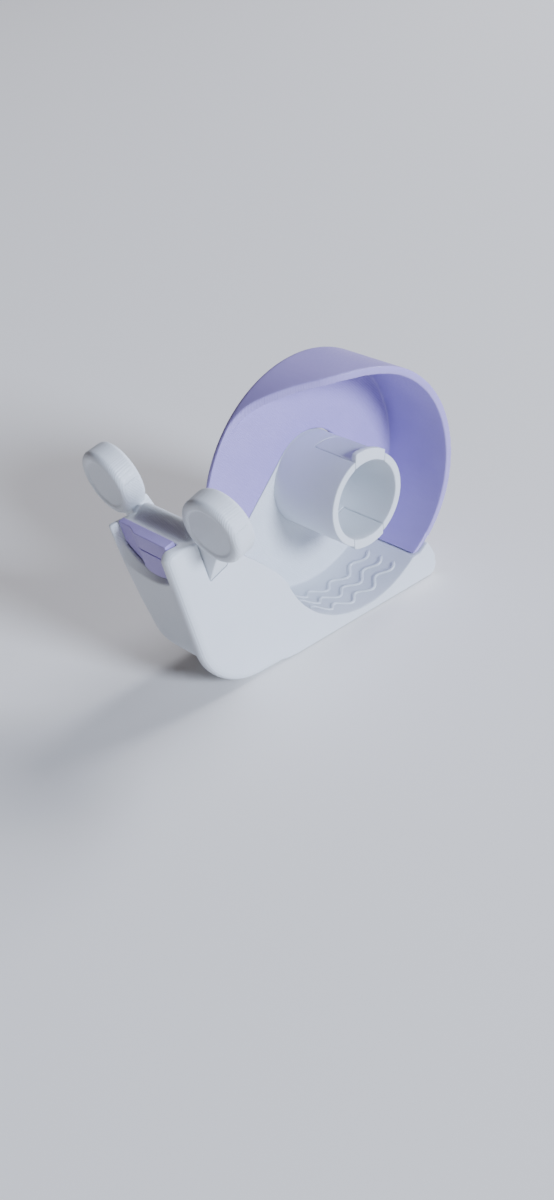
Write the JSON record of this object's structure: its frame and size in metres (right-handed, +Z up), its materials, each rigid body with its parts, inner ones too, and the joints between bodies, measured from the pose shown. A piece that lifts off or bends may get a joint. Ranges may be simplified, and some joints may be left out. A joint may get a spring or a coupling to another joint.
{
  "type": "desk tape dispenser",
  "caption": "Small snail-shaped desk tape dispenser: open-sided spiral shell over a hollow spindle, trough foot, disc eyes on stalks and a cutter in the mouth.",
  "frame": {"origin": "middle of the bounding box's footprint, on the surface the dispenser stands on", "axes": "+X from the snail's head to its tail, +Y from the open side to the closed back wall, +Z up"},
  "size_m": [0.0974, 0.0544, 0.0669],
  "materials": {
    "white_pla": "satin 3D-printed PLA, cool white",
    "lilac_pla": "satin 3D-printed PLA, lilac"
  },
  "bodies": {
    "base": {"body": "white_pla", "tape_hub": "white_pla", "cutter_insert": "lilac_pla", "eye_near": "white_pla", "eye_far": "white_pla"},
    "shell": {"shell": "lilac_pla"},
    "finger_top": {"hub_finger_top": "white_pla"},
    "finger_bottom": {"hub_finger_bottom": "white_pla"}
  },
  "joints": [
    {"name": "shell_slide", "type": "slide", "parent": "base", "child": "shell", "axis": [0.7071, 0, 0.7071], "range_m": [0, 0.045]},
    {"name": "finger_top_flex", "type": "hinge", "parent": "base", "child": "finger_top", "pos_m": [0.01724, 0.0025, 0.04405], "axis": [0.9903, 0, -0.1392], "range_deg": [0, 5], "stiffness_Nm_per_rad": 0.3},
    {"name": "finger_bottom_flex", "type": "hinge", "parent": "base", "child": "finger_bottom", "pos_m": [0.01584, 0.0025, 0.02116], "axis": [-0.9998, 0, -0.0175], "range_deg": [0, 5], "stiffness_Nm_per_rad": 0.3}
  ]
}
